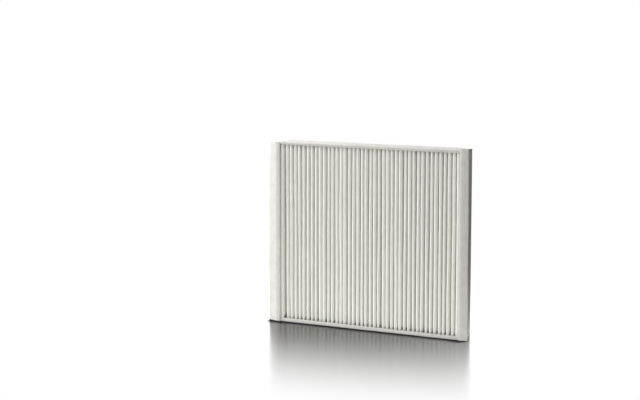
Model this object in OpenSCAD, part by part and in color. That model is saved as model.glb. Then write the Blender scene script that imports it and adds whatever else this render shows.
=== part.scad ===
// Pleated panel filter: one folded sheet of nonwoven media in a frame of four felt strips.
// Millimetres. X is the width, Y the depth with the front at -Y, Z the height.
// The origin is the middle of the underside, on the surface that the panel stands on.

/* [Overall] */
// Height, from the surface it stands on to the top of the end strips
overall_h = 200; // [120:1:320]
// Depth, from the front of the flanges to the back edge of the felt
overall_d = 30; // [20:0.5:50]

/* [Pleated media] */
// Number of pleats that show at the front
pleat_count = 42; // [12:1:60]
// Distance from one pleat to the next
pleat_pitch = 5; // [4:0.1:8]
// Thickness of the media
media_t = 0.7; // [0.4:0.05:1]
// Radius of each fold, to the middle of the media
fold_r = 1.3; // [0.6:0.05:1.4]
// How far the folds stand back from the front and back edges of the felt
fold_setback = 0.5; // [0.2:0.1:2]
// How far a fold may lie from its even place in the row
fold_wander = 0.35; // [0:0.05:0.4]
// Length of the flap at each end of the media that is bonded to an end strip
end_flap_l = 8; // [3:0.5:12]

/* [Felt bands] */
// Thickness of the band that closes the pleats at the top
top_band_t = 3; // [1.5:0.25:6]
// Thickness of the band that closes the pleats at the bottom
bottom_band_t = 4; // [1.5:0.25:6]
// Radius on the outer long edges of a band
band_edge_r = 0.8; // [0.2:0.1:1.2]

/* [End strips] */
// Thickness of the felt of the end strips
strip_t = 2; // [1.2:0.1:3]
// How far the end strips stand above the top band
strip_rise = 2; // [0.5:0.25:6]
// Part of the left flange that lies flat, from the pleats to its crease
left_flat_w = 4.75; // [4:0.25:12]
// Part of the left flange that bends back, from its crease to its edge
left_lip_w = 12; // [4:0.25:14]
// Angle that the left lip bends back by
left_sweep = 20; // [2:1:35]
// Part of the right flange that lies flat, from the pleats to its crease
right_flat_w = 3.5; // [3:0.25:12]
// Part of the right flange that bends back, from its crease to its edge
right_lip_w = 7; // [4:0.25:14]
// Angle that the right lip bends back by
right_sweep = 7; // [2:1:35]
// Radius on the free edges of a flange
flange_edge_r = 0.5; // [0.2:0.05:0.55]
// Radius in the corner between a flange and its wall
corner_r = 1.2; // [0.4:0.1:1.6]

/* [Hidden] */

media_color = [0.88, 0.88, 0.84];
felt_color = [0.91, 0.91, 0.89];

// Steps in which a half-turn fold and a quarter-turn edge are drawn
fold_steps = 6;
edge_steps = 4;

// Widths, from the pleats outward
pack_w = pleat_count * pleat_pitch;
left_reach = flange_reach(left_flat_w, left_lip_w, left_sweep);
right_reach = flange_reach(right_flat_w, right_lip_w, right_sweep);
overall_w = left_reach + pack_w + right_reach;
pack_left = left_reach - overall_w / 2;
pack_right = pack_left + pack_w;

// Depths, from the front backward
front_y = -overall_d / 2;
back_y = overall_d / 2;
felt_front_y = front_y + strip_t;

// Heights, from the bottom upward
band_top_z = overall_h - strip_rise;
pack_bottom_z = bottom_band_t;
pack_top_z = band_top_z - top_band_t;
pack_h = pack_top_z - pack_bottom_z;

// Centres of the front folds and of the back folds
front_fold_y = felt_front_y + fold_setback + media_t / 2 + fold_r;
back_fold_y = back_y - fold_setback - media_t / 2 - fold_r;
flap_back_y = back_y - fold_setback;
flap_front_y = flap_back_y - end_flap_l;

// A smooth, uneven number from -1 to 1 for fold number i, because folds never lie quite evenly
function uneven(i, phase) = 0.6 * sin(137.5 * i + phase) + 0.4 * sin(61 * i + 3 * phase);

function front_fold(i) =
    [pack_left + (i + 0.5) * pleat_pitch + fold_wander * uneven(i, 20), front_fold_y];
function back_fold(i) =
    [pack_left + i * pleat_pitch + fold_wander * uneven(i, 75), back_fold_y];

// The unit vector at an angle
function toward(angle) = [cos(angle), sin(angle)];

function heading(v) = atan2(v[1], v[0]);

// Points on an arc about centre c
function arc(c, r, from, to, steps) =
    [for (k = [0:steps]) c + r * toward(from + (to - from) * k / steps)];

// The media runs straight from one fold to the next, along the line that touches both.
// v goes from fold to fold and reach is the sum of their radii: the angle of that line's normal.
function normal_back(v, reach) = heading(v) - acos(reach / norm(v));
function normal_front(v, reach) = heading(v) + acos(reach / norm(v));

function rise_normal(i) = i == 0
    ? normal_front(front_fold(0) - left_flap_end, fold_r)
    : normal_front(front_fold(i) - back_fold(i), 2 * fold_r);
function fall_normal(i) = i == pleat_count - 1
    ? normal_back(right_flap_end - front_fold(i), fold_r)
    : normal_back(back_fold(i + 1) - front_fold(i), 2 * fold_r);

left_flap_end = [pack_left + media_t / 2, flap_front_y];
right_flap_end = [pack_right - media_t / 2, flap_front_y];

// One face of the media, side being 1 for the front face and -1 for the back face
function media_face(side) = let (h = side * media_t / 2) concat(
    [[pack_left + media_t / 2 - h, flap_back_y]],
    [left_flap_end - h * toward(rise_normal(0) / 2)],
    [for (i = [0:pleat_count - 1]) each concat(
        arc(front_fold(i), fold_r + h, 180 + rise_normal(i), 360 + fall_normal(i), fold_steps),
        i == pleat_count - 1 ? [] :
        arc(back_fold(i + 1), fold_r - h, 180 + fall_normal(i), rise_normal(i + 1), fold_steps)
    )],
    [right_flap_end + h * toward(fall_normal(pleat_count - 1) / 2)],
    [[pack_right - media_t / 2 + h, flap_back_y]]
);

function backward(points) = [for (i = [len(points) - 1:-1:0]) points[i]];

// An outline whose corner i is rounded to radius r[i]: the arc touches both sides of the corner
function rounded(p, r) = [for (i = [0:len(p) - 1]) each let (
        n = len(p),
        a = p[i] - p[(i + n - 1) % n],
        b = p[(i + 1) % n] - p[i],
        before = heading(a),
        bend = (heading(b) - before + 540) % 360 - 180,
        side = bend > 0 ? 1 : -1,
        cut = r[i] * tan(abs(bend) / 2),
        centre = p[i] - cut * a / norm(a) + side * r[i] * toward(before + 90)
    ) r[i] == 0
        ? [p[i]]
        : arc(centre, r[i], before - side * 90, before + bend - side * 90, edge_steps)];

// How far a flange reaches from the pleats, with its rounded edge
function flange_reach(flat_w, lip_w, sweep) =
    flat_w + lip_w * cos(sweep) - flange_edge_r * (cos(sweep) + sin(sweep) - 1);

// Section of a flange, x outward from the pleats and y backward from the front
module flange_section(flat_w, lip_w, sweep) {
    crease = [flat_w, 0];
    lip_edge = crease + lip_w * toward(sweep);
    behind_edge = lip_edge + strip_t * toward(sweep + 90);
    behind_crease = [flat_w - strip_t * tan(sweep / 2), strip_t];
    polygon(rounded(
        [[0, 0], crease, lip_edge, behind_edge, behind_crease, [0, strip_t]],
        [flange_edge_r, 0, flange_edge_r, flange_edge_r, 0, 0]
    ));
}

// Section of the wall behind a flange, with the round corner that it turns through
module wall_section() {
    corner = [strip_t + corner_r, strip_t + corner_r];
    polygon(concat(
        [[0, strip_t / 2], [corner[0], strip_t / 2]],
        arc(corner, corner_r, 270, 180, edge_steps),
        [[strip_t, overall_d], [0, overall_d]]
    ));
}

// An L-shaped felt strip: a wall along the end of the pleats and a flange outward at its front
module end_strip(flat_w, lip_w, sweep) {
    color(felt_color) {
        linear_extrude(overall_h)
            flange_section(flat_w, lip_w, sweep);
        translate([0, 0, pack_bottom_z])
            linear_extrude(pack_h)
                wall_section();
    }
}

// A flat felt band across the ends of the pleats, its outer face up
module band(thickness) {
    color(felt_color)
        translate([pack_left - strip_t, 0, 0])
            rotate([90, 0, 90])
                linear_extrude(pack_w + 2 * strip_t)
                    polygon(rounded(
                        [[felt_front_y, 0], [back_y, 0], [back_y, thickness], [felt_front_y, thickness]],
                        [0, 0, band_edge_r, band_edge_r]
                    ));
}

module pleated_media() {
    color(media_color)
        translate([0, 0, pack_bottom_z])
            linear_extrude(pack_h)
                polygon(concat(media_face(1), backward(media_face(-1))));
}

module top_band() {
    translate([0, 0, pack_top_z])
        band(top_band_t);
}

module bottom_band() {
    translate([0, 0, pack_bottom_z])
        mirror([0, 0, 1])
            band(bottom_band_t);
}

module left_end_strip() {
    translate([pack_left, front_y, 0])
        mirror([1, 0, 0])
            end_strip(left_flat_w, left_lip_w, left_sweep);
}

module right_end_strip() {
    translate([pack_right, front_y, 0])
        end_strip(right_flat_w, right_lip_w, right_sweep);
}

pleated_media();
top_band();
bottom_band();
left_end_strip();
right_end_strip();
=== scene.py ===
"""Looks of the pleated panel filter: one folded sheet of nonwoven media in a frame of four felt strips.

Metres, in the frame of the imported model: X is the width, Y the depth with the front at -Y, Z the height.
"""

from __future__ import annotations

import logging
import math
from dataclasses import dataclass, field
from enum import Enum
from typing import Any, Union

import bpy
import numpy as np
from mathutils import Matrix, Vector


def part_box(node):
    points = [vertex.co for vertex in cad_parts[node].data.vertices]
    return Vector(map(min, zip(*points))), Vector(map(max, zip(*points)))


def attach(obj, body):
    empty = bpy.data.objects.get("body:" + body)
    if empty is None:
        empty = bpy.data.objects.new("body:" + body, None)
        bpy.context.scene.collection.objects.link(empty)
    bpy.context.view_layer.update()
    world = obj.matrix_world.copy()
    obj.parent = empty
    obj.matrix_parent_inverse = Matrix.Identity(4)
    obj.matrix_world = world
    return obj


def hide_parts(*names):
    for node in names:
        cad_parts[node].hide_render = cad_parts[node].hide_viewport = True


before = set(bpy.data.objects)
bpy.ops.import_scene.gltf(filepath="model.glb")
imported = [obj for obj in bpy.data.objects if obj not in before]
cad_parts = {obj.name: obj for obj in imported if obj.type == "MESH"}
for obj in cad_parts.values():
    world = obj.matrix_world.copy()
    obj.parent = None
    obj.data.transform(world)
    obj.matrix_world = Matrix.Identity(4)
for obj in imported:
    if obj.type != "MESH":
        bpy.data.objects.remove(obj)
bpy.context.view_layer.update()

log = logging.getLogger("pleated_panel_filter")

MM = 0.001
BODY = "root"
SHEET_MAP = "sheet_map"

Term = Union[float, "Value"]


class Slot(Enum):
    """The record's material slots."""

    MEDIA = "media"
    FELT = "felt"


class Hold(Enum):
    """How a sheet is held in the finished filter."""

    FOLDED = "folded"
    LAID = "laid"


class Side(Enum):
    """The end of the pleats that an end strip closes: the way outward along X."""

    LEFT = -1
    RIGHT = 1


class Level(Enum):
    """The ends of the pleats that a band closes."""

    TOP = "top"
    BOTTOM = "bottom"


# ---- shader maths


@dataclass(frozen=True)
class Value:
    """A number socket of a node tree. Its operators add Math nodes to the tree."""

    tree: bpy.types.NodeTree
    socket: bpy.types.NodeSocket

    def math(self, operation: str, *terms: Term) -> Value:
        """Adds one Math node.

        Args:
            operation: The Math node's operation.
            terms: Its inputs in order, numbers or values.

        Returns:
            The node's result.
        """
        node = self.tree.nodes.new("ShaderNodeMath")
        node.operation = operation
        for place, term in enumerate(terms):
            feed(self.tree, node.inputs[place], term)
        return Value(self.tree, node.outputs[0])

    def __add__(self, other: Term) -> Value:
        """This plus other."""
        return self.math("ADD", self, other)

    def __radd__(self, other: Term) -> Value:
        """Other plus this."""
        return self.math("ADD", other, self)

    def __sub__(self, other: Term) -> Value:
        """This minus other."""
        return self.math("SUBTRACT", self, other)

    def __rsub__(self, other: Term) -> Value:
        """Other minus this."""
        return self.math("SUBTRACT", other, self)

    def __mul__(self, other: Term) -> Value:
        """This times other."""
        return self.math("MULTIPLY", self, other)

    def __rmul__(self, other: Term) -> Value:
        """Other times this."""
        return self.math("MULTIPLY", other, self)

    def __pow__(self, other: Term) -> Value:
        """This to the power other."""
        return self.math("POWER", self, other)

    def __abs__(self) -> Value:
        """This without its sign."""
        return self.math("ABSOLUTE", self)

    def larger(self, other: Term) -> Value:
        """The larger of this and other."""
        return self.math("MAXIMUM", self, other)

    def span(self, low: float, high: float) -> Value:
        """This carried smoothly from low..high onto 0..1."""
        node = self.tree.nodes.new("ShaderNodeMapRange")
        node.interpolation_type = "SMOOTHSTEP"
        feed(self.tree, node.inputs["Value"], self)
        node.inputs["From Min"].default_value = low
        node.inputs["From Max"].default_value = high
        return Value(self.tree, node.outputs["Result"])


def feed(tree: bpy.types.NodeTree, target: bpy.types.NodeSocket, source: Any) -> None:
    """Sets or links one input socket.

    Args:
        tree: The node tree that holds the socket.
        target: The input socket.
        source: A number, a tuple, a socket or a value.
    """
    if isinstance(source, Value):
        source = source.socket
    if isinstance(source, bpy.types.NodeSocket):
        tree.links.new(source, target)
    else:
        target.default_value = source


class Palette:
    """The node tree of one material or of the world, with one way to add a node."""

    def __init__(self, owner: Union[bpy.types.Material, bpy.types.World]) -> None:
        """Empties the owner's node tree.

        Args:
            owner: The material or world to build.
        """
        owner.use_nodes = True
        self.tree = owner.node_tree
        self.tree.nodes.clear()

    def add(self, kind: str, settings: dict[str, Any], sockets: dict[Any, Any], out: Any = 0) -> Any:
        """Adds a node.

        Args:
            kind: The node's type.
            settings: Properties of the node, set first.
            sockets: Numbers, tuples, sockets or values for its inputs, by name or place.
            out: Name or place of the output that is wanted.

        Returns:
            That output socket.
        """
        node = self.tree.nodes.new(kind)
        for name, setting in settings.items():
            setattr(node, name, setting)
        for name, source in sockets.items():
            feed(self.tree, node.inputs[name], source)
        return node.outputs[out] if len(node.outputs) else None

    def number(self, kind: str, settings: dict[str, Any], sockets: dict[Any, Any], out: Any = 0) -> Value:
        """As add, with the output as a value for maths."""
        return Value(self.tree, self.add(kind, settings, sockets, out))

    def blend(self, share: Term, first: Any, second: Any) -> Any:
        """A colour between first and second by share, through a Mix node."""
        return self.add("ShaderNodeMix", {"data_type": "RGBA"}, {0: share, 6: first, 7: second}, 2)

    def noise(self, where: Any, size: float, detail: float = 2.0) -> Value:
        """Smooth noise from 0 to 1.

        Args:
            where: The coordinates to read, in metres.
            size: Size of its patches, in metres.
            detail: Number of finer layers.

        Returns:
            The noise.
        """
        sockets = {"Vector": where, "Scale": 1.0 / size, "Detail": detail}
        return self.number("ShaderNodeTexNoise", {}, sockets, 0)

    def fibres(self, where: Any, width: float, stretch: float, turns: list[tuple]) -> Value:
        """Crossing fibres: the brightest of several noises, each drawn out along its own direction.

        Args:
            where: The coordinates to read, in metres.
            width: Width of a fibre, in metres.
            stretch: Length of a fibre over its width.
            turns: One rotation for each set of fibres.

        Returns:
            Fibres from 0 to 1.
        """
        web: Union[Value, None] = None
        for turn in turns:
            drawn = self.add(
                "ShaderNodeMapping",
                {"vector_type": "TEXTURE"},
                {"Vector": where, "Rotation": turn, "Scale": (stretch, 1.0, 1.0)},
            )
            strand = 1.0 - abs(self.noise(drawn, width, 1.0) * 2.0 - 1.0) * 3.0
            web = strand if web is None else web.larger(strand)
        return web.larger(0.0)


# ---- finishes


@dataclass(frozen=True)
class Finish:
    """A white fibre material: a cloudy tone, crossing fibres and a faint sheen, with painted shade at the feet of
    the valleys where given.
    """

    name: str
    light: tuple[float, float, float]
    dark: tuple[float, float, float]
    cloud: float
    fibre: float
    stretch: float
    relief: float
    roughness: float
    sheen: float
    spread: float
    turns: tuple[tuple[float, float, float], ...]
    on_sheet: bool = False
    # colour of painted shade at the feet of the valleys, just above the bottom felt, or None
    painted_valley_shade: Union[tuple[float, float, float], None] = None

    def material(self) -> bpy.types.Material:
        """Makes the material.

        Returns:
            The material, which reads the sheet's own map or Object coordinates.
        """
        made = bpy.data.materials.new(self.name)
        paint = Palette(made)
        if self.on_sheet:
            where = paint.add("ShaderNodeUVMap", {"uv_map": SHEET_MAP}, {})
        else:
            where = paint.add("ShaderNodeTexCoord", {}, {}, "Object")
        cloud = paint.noise(where, self.cloud, 3.0).span(0.3, 0.7)
        speck = paint.noise(where, self.fibre * 6.0, 2.0).span(0.35, 0.75)
        web = paint.fibres(where, self.fibre, self.stretch, list(self.turns))
        tone = cloud * 0.55 + speck * 0.2 + web * 0.25
        color = paint.blend(tone, (*self.dark, 1.0), (*self.light, 1.0))
        # painted shade: the sheet darkens behind the crests near its lower end, where the valleys lie in shade
        if self.painted_valley_shade is not None:
            color = paint.blend(self._painted_valley_shade_share(paint), color, (*self.painted_valley_shade, 1.0))
        height = web * 0.7 + speck * 0.6
        bump = paint.add(
            "ShaderNodeBump", {}, {"Strength": 0.6, "Distance": self.relief, "Height": height}
        )
        shader = paint.add(
            "ShaderNodeBsdfPrincipled",
            {},
            {
                "Base Color": color,
                "Roughness": self.roughness - web * 0.08,
                "Normal": bump,
                "Diffuse Roughness": self.spread,
                "Specular IOR Level": 0.06,
                "Sheen Weight": self.sheen,
                "Sheen Roughness": 0.5,
            },
        )
        paint.add("ShaderNodeOutputMaterial", {}, {"Surface": shader})
        return made

    def _painted_valley_shade_share(self, paint: Palette) -> Value:
        """Where shade is painted onto the sheet: behind the crests, in the valleys, in the last millimetres above
        the bottom felt.

        Args:
            paint: The material's tree.

        Returns:
            Its share, from 0 to 1.
        """
        low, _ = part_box("pleated_media")
        where = paint.add("ShaderNodeTexCoord", {}, {}, "Object")
        apart = {"Vector": where}
        depth = paint.number("ShaderNodeSeparateXYZ", {}, apart, "Y")
        height = paint.number("ShaderNodeSeparateXYZ", {}, apart, "Z")
        uneven_height = height + paint.noise(where, 4 * MM, 1.0) * (1.6 * MM)
        behind = depth.span(low.y + 0.5 * MM, low.y + 1.6 * MM)
        return behind * (1.0 - uneven_height.span(low.z + 2.0 * MM, low.z + 4.6 * MM))


NONWOVEN = Finish(
    name="nonwoven_media",
    light=(0.905, 0.905, 0.857),
    dark=(0.838, 0.838, 0.785),
    cloud=9 * MM,
    fibre=0.09 * MM,
    stretch=14.0,
    relief=0.05 * MM,
    roughness=0.86,
    sheen=0.05,
    spread=0.4,
    turns=((0, 0, 0.35), (0, 0, 1.25), (0, 0, 2.3)),
    on_sheet=True,
    # painted shade at the feet of the valleys
    painted_valley_shade=(0.6, 0.6, 0.55),
)

NEEDLE_FELT = Finish(
    name="needle_felt",
    light=(0.67, 0.66, 0.63),
    dark=(0.59, 0.57, 0.53),
    cloud=7 * MM,
    fibre=0.14 * MM,
    stretch=11.0,
    relief=0.12 * MM,
    roughness=0.92,
    sheen=0.12,
    spread=0.0,
    turns=((0.2, 0.4, 0.5), (0.9, 0.1, 1.7), (0.4, 1.2, 2.6), (1.4, 0.7, 0.1)),
)


# ---- shapes


def uneven(i: np.ndarray, phase: float) -> np.ndarray:
    """The source's rule for folds that don't lie quite evenly: 0.6 sin(137.5 i + p) + 0.4 sin(61 i + 3 p)."""
    return 0.6 * np.sin(np.radians(137.5 * i + phase)) + 0.4 * np.sin(np.radians(61 * i + 3 * phase))


@dataclass(frozen=True)
class Ripple:
    """A smooth unevenness: a sum of sine waves, each shorter and lower than the last, in seeded directions."""

    seed: int
    height: float
    wavelength: float
    waves: int = 5

    def __call__(self, a: np.ndarray, b: Any = 0.0) -> np.ndarray:
        """Height of the ripple at places (a, b).

        Args:
            a: First coordinate, in metres.
            b: Second coordinate, in metres.

        Returns:
            The height there, at most self.height either way.
        """
        draw = np.random.default_rng(self.seed)
        total, weight = 0.0, 0.0
        for wave in range(self.waves):
            turn, phase = draw.uniform(0.0, 2 * np.pi, 2)
            share = 0.7**wave
            along = np.cos(turn) * a + np.sin(turn) * b
            total = total + share * np.sin(2 * np.pi * along * 1.6**wave / self.wavelength + phase)
            weight += share
        return self.height * total / weight


@dataclass(frozen=True)
class Run:
    """Places along a length, close together at its rounded ends.

    Near an end the place is radius (1 - cos(q)^(2/p)) and the thickness share sin(q)^(2/p), a superellipse.
    """

    length: float
    radius: float
    count: int
    steps: int = 5
    power: float = 3.0

    def places(self) -> tuple[np.ndarray, np.ndarray]:
        """The places from 0 to length, and the share of the thickness at each, 0 at both ends.

        Returns:
            Places and shares.
        """
        q = np.linspace(0.0, np.pi / 2, self.steps + 1)
        near = self.radius * (1 - np.cos(q) ** (2 / self.power))
        near[-1] = self.radius
        share = np.sin(q) ** (2 / self.power)
        middle = np.linspace(self.radius, self.length - self.radius, self.count)[1:-1]
        places = np.concatenate([near, middle, self.length - near[::-1]])
        shares = np.concatenate([share, np.ones(len(middle)), share[::-1]])
        return places, shares


def closed_slab(name: str, middle: np.ndarray, half: np.ndarray, chart: Any = None) -> bpy.types.Object:
    """A closed sheet whose faces are middle + half and middle - half, and which share the rim, where half is 0.

    Args:
        name: The piece's name.
        middle: Points of the middle of the sheet, rows by columns by 3.
        half: From the middle to the front face, the same shape.
        chart: The sheet's own map, rows by columns by 2, or None.

    Returns:
        The piece, with its faces outward.
    """
    rows, columns = middle.shape[:2]
    half = half.copy()
    half[[0, -1]] = 0.0
    half[:, [0, -1]] = 0.0
    front = np.arange(rows * columns).reshape(rows, columns)
    back = front.copy()
    inner = (rows - 2) * (columns - 2)
    back[1:-1, 1:-1] = rows * columns + np.arange(inner).reshape(rows - 2, columns - 2)
    points = np.concatenate([(middle + half).reshape(-1, 3), (middle - half)[1:-1, 1:-1].reshape(-1, 3)])

    def quads(index: np.ndarray) -> np.ndarray:
        """The grid's four-sided faces."""
        corners = [index[:-1, :-1], index[1:, :-1], index[1:, 1:], index[:-1, 1:]]
        return np.stack(corners, -1).reshape(-1, 4)

    down = np.diff(middle, axis=0)[:, :-1]
    across = np.diff(middle, axis=1)[:-1]
    outward = np.sum(np.cross(down, across) * half[:-1, :-1]) > 0
    faces = np.concatenate([quads(front), quads(back)[:, ::-1]])
    if not outward:
        faces = faces[:, ::-1]
    mesh = bpy.data.meshes.new(name)
    mesh.vertices.add(len(points))
    mesh.loops.add(faces.size)
    mesh.polygons.add(len(faces))
    mesh.vertices.foreach_set("co", points.astype(np.float32).ravel())
    mesh.loops.foreach_set("vertex_index", faces.astype(np.int32).ravel())
    mesh.polygons.foreach_set("loop_start", np.arange(0, faces.size, 4, dtype=np.int32))
    mesh.polygons.foreach_set("use_smooth", np.ones(len(faces), bool))
    if chart is not None:
        flat = np.concatenate([chart.reshape(-1, 2), chart[1:-1, 1:-1].reshape(-1, 2)])
        layer = mesh.uv_layers.new(name=SHEET_MAP)
        layer.data.foreach_set("uv", flat[faces.ravel()].astype(np.float32).ravel())
    mesh.update(calc_edges=True)
    mesh.validate()
    piece = bpy.data.objects.new(name, mesh)
    bpy.context.scene.collection.objects.link(piece)
    return piece


def settle(piece: bpy.types.Object, node: str, material: bpy.types.Material) -> None:
    """Dresses a finished piece and puts it in its node's place.

    Args:
        piece: The piece.
        node: The CAD node that it stands for.
        material: Its material.
    """
    piece.data.materials.append(material)
    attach(piece, BODY)
    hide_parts(node)


def angle_of(v: np.ndarray) -> np.ndarray:
    """The heading of plane vectors, x first."""
    return np.arctan2(v[1], v[0])


def toward(angle: np.ndarray) -> np.ndarray:
    """Unit plane vectors at angles, x first."""
    return np.stack([np.cos(angle), np.sin(angle)])


@dataclass
class FoldedMedia:
    """The one sheet of nonwoven media, folded into pleats that stand upright."""

    node: str = "pleated_media"
    pleats: int = 42
    thickness: float = 0.7 * MM
    fold_radius: float = 1.35 * MM
    end_gain: float = 1.3 * MM
    wander: float = 0.35 * MM
    flap: float = 8.0 * MM
    meander: float = 0.17 * MM
    lean: float = 0.28 * MM
    crown: float = 0.22 * MM
    seed: int = 5
    fold_steps: int = 8
    flank_steps: int = 3
    height_steps: int = 36
    low: Vector = field(init=False)
    high: Vector = field(init=False)

    def __post_init__(self) -> None:
        """Reads the space that the sheet fills."""
        self.low, self.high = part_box(self.node)
        self.pitch = (self.high.x - self.low.x) / self.pleats
        self.end_reach = self.fold_radius + self.thickness / 2 + 0.1 * MM

    def _places(self, count: int, phase: float, offset: float, z: np.ndarray, seed: int) -> np.ndarray:
        """Where folds stand across the width, at each height.

        An even row, plus the source's rule, plus for each fold a lean and a slow sine wave up the height.

        Args:
            count: Number of folds.
            phase: Phase of the source's rule.
            offset: Place of fold 0, in pitches.
            z: Heights from 0 to 1.
            seed: Seed of the waves.

        Returns:
            Folds by heights.
        """
        draw = np.random.default_rng(seed)
        i = np.arange(count)[:, None]
        phases, cycles, swing = draw.uniform(0, 1, (3, count, 1))
        wave = np.sin(2 * np.pi * ((0.6 + 1.1 * cycles) * z + phases))
        tilt = (2 * draw.uniform(0, 1, (count, 1)) - 1) * (2 * z - 1)
        even = self.low.x + (i + offset) * self.pitch + self.wander * uneven(i, phase)
        if count == self.pleats:
            even[[0, -1]] = np.array([[self.low.x], [self.high.x]]) + np.array([[1], [-1]]) * self.end_reach
        return even + self.meander * (0.4 + 0.6 * swing) * wave + self.lean * tilt

    def surface(self) -> tuple[np.ndarray, np.ndarray, np.ndarray]:
        """The sheet in its folded form.

        The middle of the sheet is an arc about each fold's centre and the straight line that touches one
        arc and the next. Each face lies half the thickness from it, along its normal.

        Returns:
            Middle points, half thicknesses and the sheet's own map in metres.
        """
        draw = np.random.default_rng(self.seed)
        n, t = self.pleats, self.thickness / 2
        share = np.linspace(0.0, 1.0, self.height_steps)
        z = self.low.z + share * (self.high.z - self.low.z)
        shape = (n, len(z))
        radius = self.fold_radius + draw.uniform(-0.25, 0.25, (n, 1)) * MM * np.ones(shape)
        front_y = self.low.y + t + radius + self.crown * draw.uniform(-0.6, 1.0, (n, 1))
        front_y[[0, -1]] -= self.end_gain
        back_y = self.high.y - t - self.fold_radius
        front = np.stack([self._places(n, 20, 0.5, share, self.seed + 1), front_y * np.ones(shape)])
        back_x = self._places(n + 1, 75, 0.0, share, self.seed + 2)
        back = np.stack([back_x, np.full_like(back_x, back_y)])
        edge_y = self.high.y
        left_end = np.array([self.low.x + t, edge_y - self.flap])[:, None] * np.ones(len(z))
        right_end = np.array([self.high.x - t, edge_y - self.flap])[:, None] * np.ones(len(z))

        def touch(v: np.ndarray, reach: np.ndarray, way: int) -> np.ndarray:
            """Angle of the normal of the line that touches two folds: heading +- acos(reach / length)."""
            return angle_of(v) + way * np.arccos(reach / np.hypot(v[0], v[1]))

        rise = touch(front - back[:, :n], radius + self.fold_radius, 1)
        rise[0] = touch(front[:, 0] - left_end, radius[0], 1)
        fall = touch(back[:, 1:] - front, radius + self.fold_radius, -1)
        fall[-1] = touch(right_end - front[:, -1], radius[-1], -1)

        def arc(centre: np.ndarray, r: Any, start: np.ndarray, end: np.ndarray, sign: int) -> tuple:
            """Arc points and their half thicknesses, folds by steps by heights."""
            k = np.linspace(0.0, 1.0, self.fold_steps + 1)[None, :, None]
            way = toward(start[:, None] + (end - start)[:, None] * k)
            r = r[:, None] if isinstance(r, np.ndarray) else r
            return centre[:, :, None] + r * way, sign * t * way

        def flank(a: tuple, b: tuple) -> tuple:
            """Points between the last of one arc and the first of the next, bowed by a half sine."""
            k = np.linspace(0.0, 1.0, self.flank_steps + 2)[1:-1][None, None, :, None]
            start, end = a[0][:, :, -1:], b[0][:, :, :1]
            half = a[1][:, :, -1:] * np.ones_like(k)
            bow = 0.5 * draw.uniform(-1.0, 1.0, (1, start.shape[1], 1, 1)) * np.sin(np.pi * k)
            return start + (end - start) * k + bow * half, half

        crest = arc(front, radius, np.pi + rise, 2 * np.pi + fall, 1)
        trough = arc(back[:, 1:n], self.fold_radius, np.pi + fall[:-1], rise[1:], -1)
        inner = tuple(part[:, :-1] for part in crest)
        after = tuple(part[:, 1:] for part in crest)
        going, coming = flank(inner, trough), flank(trough, after)

        def joined(part: int) -> np.ndarray:
            """Crest, flank, trough and flank of every pleat but the last, in one run, and the last crest."""
            block = np.concatenate([inner[part], going[part], trough[part], coming[part]], axis=2)
            return np.concatenate([block.reshape(2, -1, len(z)), crest[part][:, -1]], axis=1)

        def flap_rows(end: np.ndarray, normal: np.ndarray, way: int) -> tuple[np.ndarray, np.ndarray]:
            """The flap at one end of the sheet, from its edge inward, with its edge twice."""
            y = np.stack([np.full_like(z, edge_y)] * 2 + [np.full_like(z, edge_y - self.flap / 2), end[1]])
            x = np.stack([end[0]] * 4)
            lay = np.stack([np.zeros_like(z)] * 3 + [normal / 2])
            return np.stack([x, y]), way * t * toward(lay)

        left = flap_rows(left_end, rise[0], -1)
        right = flap_rows(right_end, fall[-1], 1)
        plane = np.concatenate([left[0], joined(0), right[0][:, ::-1]], axis=1)
        normal = np.concatenate([left[1], joined(1), right[1][:, ::-1]], axis=1)

        def capped(values: np.ndarray) -> np.ndarray:
            """Repeats the first and last height, for the cut edges."""
            return np.concatenate([values[..., :1], values, values[..., -1:]], axis=-1)

        plane, normal, heights = capped(plane), capped(normal), capped(z)
        grid = plane.shape[1:]
        middle = np.stack([plane[0], plane[1], np.broadcast_to(heights, grid)], -1)
        half = np.stack([normal[0], normal[1], np.zeros(grid)], -1)
        step = np.hypot(*np.diff(plane[..., 1:-1].mean(-1), axis=1))
        along = np.concatenate([[0.0], np.cumsum(step)])
        chart = np.stack([along[:, None] * np.ones(grid), np.broadcast_to(heights, grid)], -1)
        return middle, half, chart

    def build(self, material: bpy.types.Material) -> bpy.types.Object:
        """Makes and dresses the sheet.

        Args:
            material: Its material.

        Returns:
            The piece.
        """
        middle, half, chart = self.surface()
        piece = closed_slab("folded_sheet", middle, half, chart)
        settle(piece, self.node, material)
        return piece


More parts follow.
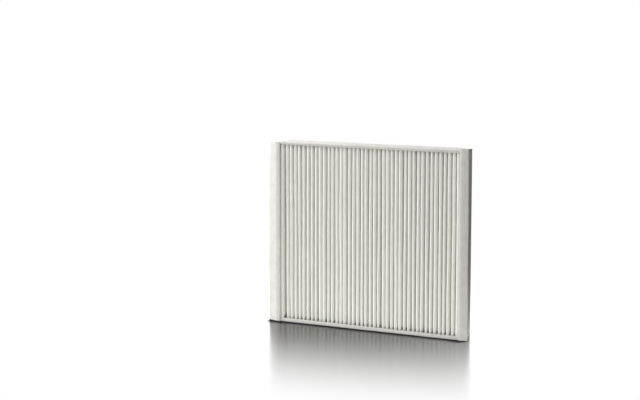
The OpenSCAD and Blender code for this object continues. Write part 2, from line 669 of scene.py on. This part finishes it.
@dataclass
class FeltBand:
    """A flat felt strip across the ends of the pleats."""

    level: Level
    edge: float = 1.2 * MM
    rim: float = 0.0
    lift: float = 0.0
    slant: float = 0.0
    reach: float = 0.0
    seed: int = 11
    low: Vector = field(init=False)
    high: Vector = field(init=False)

    def __post_init__(self) -> None:
        """Reads the space that the band fills."""
        self.node = f"{self.level.value}_band"
        self.low, self.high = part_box(self.node)

    def surface(self) -> tuple[np.ndarray, np.ndarray]:
        """A soft slab with a gently uneven outer face and outline.

        Within about a millimetre of the front edge a rim stands up against the pleats, the underside lifts
        off the ground and the upper face reaches further forward than the lower one.

        Returns:
            Middle points and half thicknesses.
        """
        x, x_share = Run(self.high.x - self.low.x, self.edge, 200, power=3.2).places()
        y, y_share = Run(self.high.y - self.low.y, self.edge, 26, power=3.2).places()
        x, y = (self.low.x + x)[:, None], (self.low.y + y)[None, :]
        depth = (y - self.low.y) / (self.high.y - self.low.y)
        top = self.level is Level.TOP
        swell = Ripple(self.seed, 0.3 * MM if top else 0.12 * MM, 70 * MM)(x, y)
        brow = np.exp(-(((y - self.low.y) / (1.1 * MM)) ** 2))
        upper = self.high.z + swell - 0.15 * MM + (0 if top else self.rim) * brow
        lower = self.low.z + 0 * swell + (-self.rim if top else self.lift) * brow
        outline = (Ripple(self.seed + 1, 0.3 * MM, 60 * MM)(x) - self.reach) * (1 - depth)
        outline = outline + Ripple(self.seed + 2, 0.45 * MM, 80 * MM)(x) * depth
        wide = np.broadcast_arrays(x, y + outline, (upper + lower) / 2)
        share = x_share[:, None] * y_share[None, :]
        half = np.broadcast_arrays(0 * x, -self.slant / 2 * share * brow, share * (upper - lower) / 2)
        return np.stack(wide, -1), np.stack(half, -1)

    def build(self, material: bpy.types.Material) -> bpy.types.Object:
        """Makes and dresses the band.

        Args:
            material: Its material.

        Returns:
            The piece.
        """
        piece = closed_slab(f"{self.level.value}_felt", *self.surface())
        settle(piece, self.node, material)
        return piece


@dataclass
class EndStrip:
    """An L-shaped felt strip: a wall along the end of the pleats and a flange outward at its front."""

    side: Side
    flat_width: float
    lip_width: float
    sweep: float
    thickness: float = 2.0 * MM
    inner_corner: float = 1.2 * MM
    crease: float = 1.0 * MM
    corner_run: float = 5.0 * MM
    lip_taper: float = 0.0
    lift: float = 0.2 * MM
    drop: float = 0.1 * MM
    seed: int = 31
    low: Vector = field(init=False)
    high: Vector = field(init=False)

    def __post_init__(self) -> None:
        """Reads the space that the strip fills, and the pleats' end that it lies on."""
        self.node = f"{self.side.name.lower()}_end_strip"
        self.low, self.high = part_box(self.node)
        pack_low, pack_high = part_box("pleated_media")
        self.pack_x = pack_low.x if self.side is Side.LEFT else pack_high.x
        self.wall_low, self.wall_high = pack_low.z, pack_high.z
        self.bend = self.thickness + self.inner_corner
        self.wall_run = (self.high.y - self.low.y) - self.bend

    def _flange(self, s: np.ndarray) -> tuple[np.ndarray, np.ndarray]:
        """Front face of the flange and its angle, s from the pleats outward.

        Straight to the crease, an arc of the sweep angle over the crease, then straight again.

        Args:
            s: Distances along the face.

        Returns:
            Points, and the angle that the face has turned by.
        """
        start = self.flat_width - self.crease / 2
        radius = self.crease / self.sweep
        turned = np.clip((s - start) / radius, 0.0, self.sweep)
        beyond = np.maximum(s - start - self.crease, 0.0)
        x = np.minimum(s, start) + radius * np.sin(turned) + beyond * np.cos(self.sweep)
        y = radius * (1 - np.cos(turned)) + beyond * np.sin(self.sweep)
        return np.stack([x, y]), turned

    def surface(self) -> tuple[np.ndarray, np.ndarray]:
        """The strip's outer and inner faces, from the wall's back edge round the corner to the lip's edge.

        The outer face turns the corner on a superellipse and the inner face on an arc. Both run straight
        down the wall, and the inner face keeps the felt's thickness along the flange.

        Returns:
            Middle points and half thicknesses.
        """
        lip_end = self.flat_width + self.lip_width
        length = self.wall_run + self.corner_run + lip_end - self.bend
        s, s_share = Run(length, 1.0 * MM, 70, power=2.6).places()
        w, w_share = Run(1.0, 0.004, 90, power=2.6).places()
        s, w = s[:, None], w[None, :]
        crease_at = self.wall_run + self.corner_run + self.flat_width - self.bend
        beyond = np.maximum(s - crease_at, 0.0)
        trim = Ripple(self.seed, 0.25 * MM, 90 * MM)(w * self.high.z) - self.lip_taper * w**2
        s = s + beyond / (lip_end - self.flat_width) * trim
        on_wall = np.clip(s, 0.0, self.wall_run)
        turn = np.clip((s - self.wall_run) / self.corner_run, 0.0, 1.0) * np.pi / 2
        on_flange = np.maximum(s - self.wall_run - self.corner_run, 0.0) + self.bend
        depth = self.high.y - self.low.y
        power = 2 / 7.0
        corner = self.bend * (1 - np.stack([np.cos(turn) ** power, np.sin(turn) ** power]))
        face, turned = self._flange(on_flange)
        outer = np.where(turn < np.pi / 2 - 1e-9, corner, face)
        outer = np.where(turn <= 0.0, np.stack([0 * s, depth - on_wall]), outer)
        fillet = self.bend - self.inner_corner * np.stack([np.cos(turn), np.sin(turn)])
        behind = face + self.thickness * np.stack([-np.sin(turned), np.cos(turned)])
        inner = np.where(turn < np.pi / 2 - 1e-9, fillet, behind)
        inner = np.where(turn <= 0.0, np.stack([self.thickness + 0 * s, depth - on_wall]), inner)
        free = np.clip((turn / (np.pi / 2) - 0.35) / 0.3, 0.0, 1.0)
        low = self.wall_low + (self.low.z + self.lift - self.wall_low) * free
        high = self.wall_high + (self.high.z - self.drop - self.wall_high) * free
        z = low + w * (high - low)
        sway = Ripple(self.seed + 1, 0.16 * MM, 75 * MM)(on_flange, z) * free
        inland = np.clip((lip_end - on_flange) / (3.0 * MM), 0.0, 1.0)
        press = 0.2 * MM * np.exp(-(((z - 4.4 * MM) / (0.7 * MM)) ** 2))
        flare = -0.3 * MM * np.clip(1 - z / (4.4 * MM), 0.0, 1.0)
        sway = sway + (press + flare) * free * inland
        middle = (outer + inner) / 2
        half = (outer - inner) / 2 * s_share[:, None] * w_share[None, :]
        way = self.side.value
        place = [self.pack_x + way * middle[0], self.low.y + middle[1] + sway, z]
        return np.stack(place, -1), np.stack([way * half[0], half[1], 0 * z], -1)

    def build(self, material: bpy.types.Material) -> bpy.types.Object:
        """Makes and dresses the strip.

        Args:
            material: Its material.

        Returns:
            The piece.
        """
        name = f"{self.side.name.lower()}_felt"
        piece = closed_slab(name, *self.surface())
        settle(piece, self.node, material)
        wall, tall = self.wall_run + self.bend, self.high.z - self.low.z
        flange = self.flat_width + self.lip_width
        area = flange * tall + wall * (self.wall_high - self.wall_low)
        return piece


# ---- studio


@dataclass
class Studio:
    """A pale floor, soft light mainly from the upper left, and the camera at the photograph's angle."""

    key_power: float = 11.2
    top_power: float = 3.0
    fill_power: float = 4.8
    ambient: float = 0.38
    surround: float = 3.6
    near_bounce: float = 1.22
    far_bounce: float = 0.92
    floor_radius: float = 6.0

    def _lamp(self, name: str, place: tuple, aim: tuple, size: float, power: float) -> None:
        """Adds a square area light.

        Args:
            name: The light's name.
            place: Where it stands, in metres.
            aim: The point that it faces.
            size: Side of the square.
            power: Its power in watts.
        """
        data = bpy.data.lights.new(name, "AREA")
        data.shape, data.size, data.energy = "SQUARE", size, power
        lamp = bpy.data.objects.new(name, data)
        lamp.location = place
        lamp.rotation_euler = (Vector(aim) - Vector(place)).to_track_quat("-Z", "Y").to_euler()
        bpy.context.scene.collection.objects.link(lamp)

    def _world(self) -> None:
        """A white surround, bright in the floor's gloss and dim where it lights matt surfaces."""
        world = bpy.data.worlds.new("studio_surround")
        bpy.context.scene.world = world
        paint = Palette(world)
        matt = paint.number("ShaderNodeLightPath", {}, {}, "Is Diffuse Ray")
        gloss = paint.number("ShaderNodeLightPath", {}, {}, "Is Glossy Ray")
        strength = 1.0 - matt * (1.0 - self.ambient) + gloss * (self.surround - 1.0)
        shade = paint.add("ShaderNodeBackground", {}, {"Color": (1, 1, 1, 1), "Strength": strength})
        paint.add("ShaderNodeOutputWorld", {}, {"Surface": shade})

    def _floor(self) -> None:
        """A smooth pale floor: a disc on a polar grid, glossy near the filter and plain white far from it. A
        painted contact shadow lies along the filter's foot, and the floor glows to light the filter, with painted
        shade in that glow.
        """
        ring = np.concatenate([[0.0], np.geomspace(0.05, self.floor_radius, 24)])[:, None]
        turn = np.linspace(0.0, 2 * np.pi, 65)[None, :-1]
        points = np.stack([ring * np.cos(turn), ring * np.sin(turn), 0 * ring * turn], -1)
        rows, columns = points.shape[:2]
        index = np.arange(rows * columns).reshape(rows, columns)
        beside = np.roll(index, -1, axis=1)
        faces = np.stack([index[:-1], index[1:], beside[1:], beside[:-1]], -1).reshape(-1, 4)
        mesh = bpy.data.meshes.new("studio_floor")
        mesh.from_pydata(points.reshape(-1, 3).tolist(), [], faces.tolist())
        floor = bpy.data.objects.new("studio_floor", mesh)
        bpy.context.scene.collection.objects.link(floor)
        made = bpy.data.materials.new("pale_floor")
        paint = Palette(made)
        where = paint.add("ShaderNodeTexCoord", {}, {}, "Object")
        flat = paint.add(
            "ShaderNodeVectorMath",
            {"operation": "MULTIPLY_ADD"},
            {0: where, 1: (0.6, 1.0, 1.0), 2: (0.03, 0.0, 0.0)},
        )
        away = paint.number("ShaderNodeVectorMath", {"operation": "LENGTH"}, {0: flat}, "Value")
        matt = paint.number("ShaderNodeLightPath", {}, {}, "Is Diffuse Ray")
        across = abs(paint.number("ShaderNodeSeparateXYZ", {}, {"Vector": where}, "X"))
        behind = paint.number("ShaderNodeSeparateXYZ", {}, {"Vector": where}, "Y").span(-0.01, 0.0)
        reach = 0.016 - behind.larger(across.span(0.112, 0.119)) * 0.009
        open_sky = paint.number("ShaderNodeAmbientOcclusion", {"samples": 6}, {"Distance": reach}, "AO")
        # painted light: the floor glows onto the filter, and painted shade dims that glow far away, beside the
        # filter's ends (more behind them) and near its foot by ambient occlusion
        bright = 1.0 - away.span(0.05, 0.4) * (1.0 - self.far_bounce / self.near_bounce)
        bright = bright * (1.0 - across.span(0.112, 0.16) * (0.2 + behind * 0.65)) * open_sky
        white = paint.add("ShaderNodeEmission", {}, {"Strength": 1.0})
        glow = paint.add("ShaderNodeEmission", {}, {"Strength": self.near_bounce})
        gloss = paint.add(
            "ShaderNodeBsdfPrincipled",
            {},
            {"Base Color": (0.03, 0.03, 0.03, 1.0), "Roughness": 0.24, "IOR": 1.7},
        )
        black = paint.add("ShaderNodeEmission", {}, {"Strength": 0.0})
        bounce = paint.add("ShaderNodeMixShader", {}, {0: bright, 1: black, 2: glow})
        clear = paint.add("ShaderNodeMixShader", {}, {0: away.span(0.03, 0.33), 1: gloss, 2: white})
        # painted contact shadow: the camera sees black floor where ambient occlusion is strong, except beyond the
        # filter's ends
        beyond = (behind * across.span(0.108, 0.1105)).larger(across.span(0.1175, 0.1188))
        free_of_painted_contact_shadow = (open_sky**7.0).larger(beyond)
        seen = paint.add("ShaderNodeMixShader", {}, {0: free_of_painted_contact_shadow, 1: black, 2: clear})
        shade = paint.add("ShaderNodeMixShader", {}, {0: matt, 1: seen, 2: bounce})
        paint.add("ShaderNodeOutputMaterial", {}, {"Surface": shade})
        mesh.materials.append(made)

    def _flag(self) -> None:
        """A black card to the right of the filter, which only takes light from it."""
        mesh = bpy.data.meshes.new("studio_flag")
        corners = [(0.15, -0.03, 0.02), (0.15, 0.25, 0.02), (0.15, 0.25, 0.4), (0.15, -0.03, 0.4)]
        mesh.from_pydata(corners, [], [(0, 1, 2, 3)])
        card = bpy.data.objects.new("studio_flag", mesh)
        bpy.context.scene.collection.objects.link(card)
        card.visible_camera = card.visible_glossy = False
        made = bpy.data.materials.new("black_card")
        paint = Palette(made)
        sockets = {"Base Color": (0.12, 0.12, 0.12, 1.0), "Roughness": 1.0, "Specular IOR Level": 0.0}
        shade = paint.add("ShaderNodeBsdfPrincipled", {}, sockets)
        paint.add("ShaderNodeOutputMaterial", {}, {"Surface": shade})
        mesh.materials.append(made)

    def _camera(self) -> None:
        """The camera, placed by the outline of the filter in the photograph."""
        data = bpy.data.cameras.new("studio_camera")
        data.sensor_width, data.lens = 36.0, 86.47
        data.clip_start, data.clip_end = 0.05, 50.0
        camera = bpy.data.objects.new("studio_camera", data)
        camera.location = (0.7022, -1.4671, 0.3501)
        camera.rotation_euler = (math.radians(90 - 7.4), 0.0, math.radians(27.48))
        bpy.context.scene.collection.objects.link(camera)
        bpy.context.scene.camera = camera

    def build(self) -> None:
        """Makes the whole studio."""
        self._camera()
        self._world()
        self._floor()
        self._flag()
        middle = (0.0, 0.0, 0.1)
        self._lamp("key_light", (-0.85, -0.28, 0.55), middle, 0.5, self.key_power)
        self._lamp("top_light", (-0.1, 0.35, 1.3), middle, 0.9, self.top_power)
        self._lamp("back_light", (-0.6, 1.3, 0.8), middle, 0.9, self.fill_power)
        bpy.context.scene.view_settings.view_transform = "Standard"
        log.info("studio: floor, three soft lights and camera")


def main() -> None:
    """Builds the filter and the studio."""
    logging.basicConfig(level=logging.INFO, format="%(message)s")
    felt, media = NEEDLE_FELT.material(), NONWOVEN.material()
    bottom = FeltBand(Level.BOTTOM, rim=0.5 * MM, lift=0.25 * MM, reach=1.2 * MM, seed=17)
    top = FeltBand(Level.TOP, slant=2.4 * MM, reach=1.1 * MM, seed=11)
    left = EndStrip(Side.LEFT, 4.75 * MM, 12.2 * MM, math.radians(20), lip_taper=2.6 * MM, drop=1.9 * MM, seed=31)
    right = EndStrip(
        Side.RIGHT, 3.6 * MM, 7.0 * MM, math.radians(7), crease=2.0 * MM, lip_taper=0.7 * MM, seed=41
    )
    for strip in (bottom, top, left, right):
        strip.build(felt)
    FoldedMedia().build(media)
    Studio().build()


if __name__ == "__main__":
    main()
